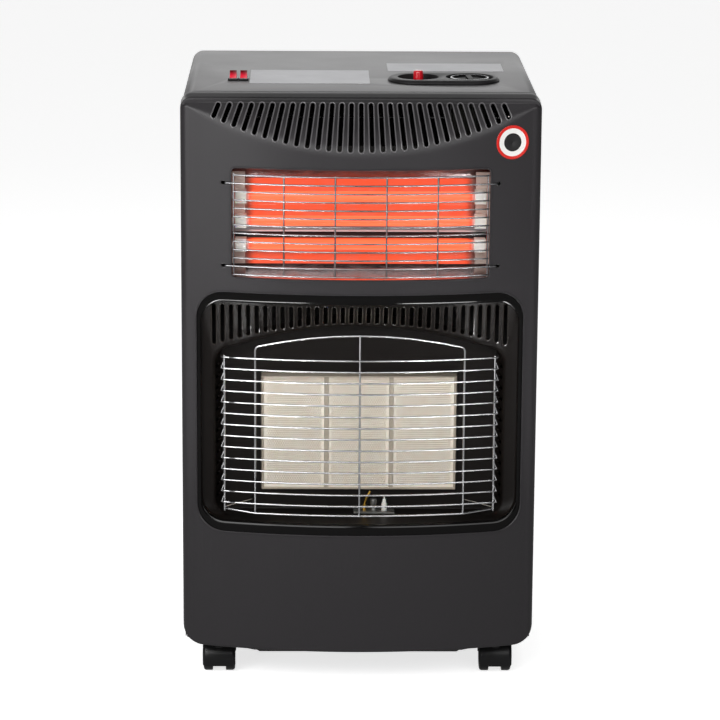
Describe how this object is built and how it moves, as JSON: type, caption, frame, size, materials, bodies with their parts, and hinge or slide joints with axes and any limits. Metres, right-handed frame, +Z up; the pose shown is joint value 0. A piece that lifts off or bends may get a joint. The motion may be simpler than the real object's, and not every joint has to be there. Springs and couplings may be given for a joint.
{
  "type": "portable gas cabinet heater",
  "caption": "Portable cabinet heater on casters with a bowed front, a caged gas plaque fire, a quartz element heater above it, a control knob and a lift-off back.",
  "frame": {"origin": "on the floor, under the middle of the heater's width and depth", "axes": "+Z up, the front faces -Y, +X to the right of a person who looks at the front"},
  "size_m": [0.42, 0.4114, 0.7274],
  "materials": {
    "cabinet_paint": "dark grey metallic powder coat, satin",
    "zinc_sheet": "plain zinc coated sheet",
    "zinc_cast": "die cast and turned zinc coated metal",
    "brass": "turned brass",
    "black_plastic": "black moulded plastic, satin",
    "red_plastic": "red moulded plastic",
    "polished_sheet": "polished reflector sheet",
    "bracket_steel": "heat tinted sheet steel",
    "hot_quartz": "glowing quartz tube",
    "white_ceramic": "white ceramic",
    "chromed_wire": "chromed steel wire",
    "black_enamel": "black gloss enamel",
    "burner_steel": "aluminised steel",
    "cream_ceramic": "cream perforated ceramic plaque",
    "pipe_steel": "bent steel gas pipe",
    "caster_steel": "zinc plated steel",
    "caster_plastic": "black moulded nylon"
  },
  "bodies": {
    "cabinet": {"front_panel": "cabinet_paint", "cabinet_wrap": "cabinet_paint", "base_tray": "cabinet_paint", "rear_top_panel": "cabinet_paint", "heat_shield": "zinc_sheet", "cord_gland": "black_plastic", "control_bezel": "black_plastic", "gas_valve": "zinc_cast", "hose_nozzle": "brass", "piezo_igniter": "black_plastic", "switch_frame_1": "black_plastic", "switch_frame_2": "black_plastic", "upper_reflector": "polished_sheet", "element_bracket_left": "bracket_steel", "element_bracket_right": "bracket_steel", "quartz_tube_1": "hot_quartz", "element_cap_left_1": "white_ceramic", "element_cap_right_1": "white_ceramic", "quartz_tube_2": "hot_quartz", "element_cap_left_2": "white_ceramic", "element_cap_right_2": "white_ceramic", "quartz_tube_3": "hot_quartz", "element_cap_left_3": "white_ceramic", "element_cap_right_3": "white_ceramic", "upper_guard": "chromed_wire", "fire_surround": "black_enamel", "burner_body": "burner_steel", "burner_frame": "burner_steel", "ceramic_plaque_1": "cream_ceramic", "ceramic_plaque_2": "cream_ceramic", "ceramic_plaque_3": "cream_ceramic", "lower_guard": "chromed_wire", "pilot_burner": "zinc_cast", "thermocouple": "brass", "spark_electrode": "white_ceramic", "gas_manifold": "zinc_cast", "main_gas_pipe": "pipe_steel", "pilot_gas_pipe": "pipe_steel", "caster_mount_front_left": "caster_steel", "caster_mount_front_right": "caster_steel", "caster_mount_rear_left": "caster_steel", "caster_mount_rear_right": "caster_steel"},
    "spindle": {"valve_spindle": "zinc_cast"},
    "knob": {"control_knob": "black_plastic"},
    "igniter_button": {"piezo_button": "red_plastic"},
    "rocker_left": {"rocker_1": "red_plastic"},
    "rocker_right": {"rocker_2": "red_plastic"},
    "back_cover": {"rear_cover": "cabinet_paint"},
    "swivel_front_left": {"caster_hood_front_left": "caster_plastic"},
    "wheel_front_left_a": {"caster_wheel_front_left_a": "caster_plastic"},
    "wheel_front_left_b": {"caster_wheel_front_left_b": "caster_plastic"},
    "swivel_front_right": {"caster_hood_front_right": "caster_plastic"},
    "wheel_front_right_a": {"caster_wheel_front_right_a": "caster_plastic"},
    "wheel_front_right_b": {"caster_wheel_front_right_b": "caster_plastic"},
    "swivel_rear_left": {"caster_hood_rear_left": "caster_plastic"},
    "wheel_rear_left_a": {"caster_wheel_rear_left_a": "caster_plastic"},
    "wheel_rear_left_b": {"caster_wheel_rear_left_b": "caster_plastic"},
    "swivel_rear_right": {"caster_hood_rear_right": "caster_plastic"},
    "wheel_rear_right_a": {"caster_wheel_rear_right_a": "caster_plastic"},
    "wheel_rear_right_b": {"caster_wheel_rear_right_b": "caster_plastic"}
  },
  "joints": [
    {"name": "knob_turn", "type": "hinge", "parent": "cabinet", "child": "spindle", "pos_m": [0.131, -0.0472, 0.7], "axis": [0, 0, 1], "range_deg": [0, 210]},
    {"name": "knob_push", "type": "slide", "parent": "spindle", "child": "knob", "axis": [0, 0, -1], "range_m": [0, 0.003], "stiffness_N_per_m": 900, "springref_m": -0.004},
    {"name": "igniter_push", "type": "slide", "parent": "cabinet", "child": "igniter_button", "axis": [0, 0, -1], "range_m": [0, 0.007], "stiffness_N_per_m": 700, "springref_m": -0.005},
    {"name": "rocker_left_tilt", "type": "hinge", "parent": "cabinet", "child": "rocker_left", "pos_m": [-0.1512, -0.0454, 0.714], "axis": [-1, 0, 0], "range_deg": [0, 14]},
    {"name": "rocker_right_tilt", "type": "hinge", "parent": "cabinet", "child": "rocker_right", "pos_m": [-0.1386, -0.0454, 0.714], "axis": [-1, 0, 0], "range_deg": [0, 14]},
    {"name": "back_cover_lift_off", "type": "slide", "parent": "cabinet", "child": "back_cover", "axis": [0, 1, 0], "range_m": [0, 0.3]},
    {"name": "swivel_front_left", "type": "hinge", "parent": "cabinet", "child": "swivel_front_left", "pos_m": [-0.168, -0.1312, 0.04], "axis": [0, 0, 1], "continuous": true},
    {"name": "roll_front_left_a", "type": "hinge", "parent": "swivel_front_left", "child": "wheel_front_left_a", "pos_m": [-0.1817, -0.1192, 0.02], "axis": [1, 0, 0], "continuous": true},
    {"name": "roll_front_left_b", "type": "hinge", "parent": "swivel_front_left", "child": "wheel_front_left_b", "pos_m": [-0.1543, -0.1192, 0.02], "axis": [1, 0, 0], "continuous": true},
    {"name": "swivel_front_right", "type": "hinge", "parent": "cabinet", "child": "swivel_front_right", "pos_m": [0.168, -0.1312, 0.04], "axis": [0, 0, 1], "continuous": true},
    {"name": "roll_front_right_a", "type": "hinge", "parent": "swivel_front_right", "child": "wheel_front_right_a", "pos_m": [0.1543, -0.1192, 0.02], "axis": [1, 0, 0], "continuous": true},
    {"name": "roll_front_right_b", "type": "hinge", "parent": "swivel_front_right", "child": "wheel_front_right_b", "pos_m": [0.1817, -0.1192, 0.02], "axis": [1, 0, 0], "continuous": true},
    {"name": "swivel_rear_left", "type": "hinge", "parent": "cabinet", "child": "swivel_rear_left", "pos_m": [-0.168, 0.1698, 0.04], "axis": [0, 0, 1], "continuous": true},
    {"name": "roll_rear_left_a", "type": "hinge", "parent": "swivel_rear_left", "child": "wheel_rear_left_a", "pos_m": [-0.1817, 0.1818, 0.02], "axis": [1, 0, 0], "continuous": true},
    {"name": "roll_rear_left_b", "type": "hinge", "parent": "swivel_rear_left", "child": "wheel_rear_left_b", "pos_m": [-0.1543, 0.1818, 0.02], "axis": [1, 0, 0], "continuous": true},
    {"name": "swivel_rear_right", "type": "hinge", "parent": "cabinet", "child": "swivel_rear_right", "pos_m": [0.168, 0.1698, 0.04], "axis": [0, 0, 1], "continuous": true},
    {"name": "roll_rear_right_a", "type": "hinge", "parent": "swivel_rear_right", "child": "wheel_rear_right_a", "pos_m": [0.1543, 0.1818, 0.02], "axis": [1, 0, 0], "continuous": true},
    {"name": "roll_rear_right_b", "type": "hinge", "parent": "swivel_rear_right", "child": "wheel_rear_right_b", "pos_m": [0.1817, 0.1818, 0.02], "axis": [1, 0, 0], "continuous": true}
  ]
}
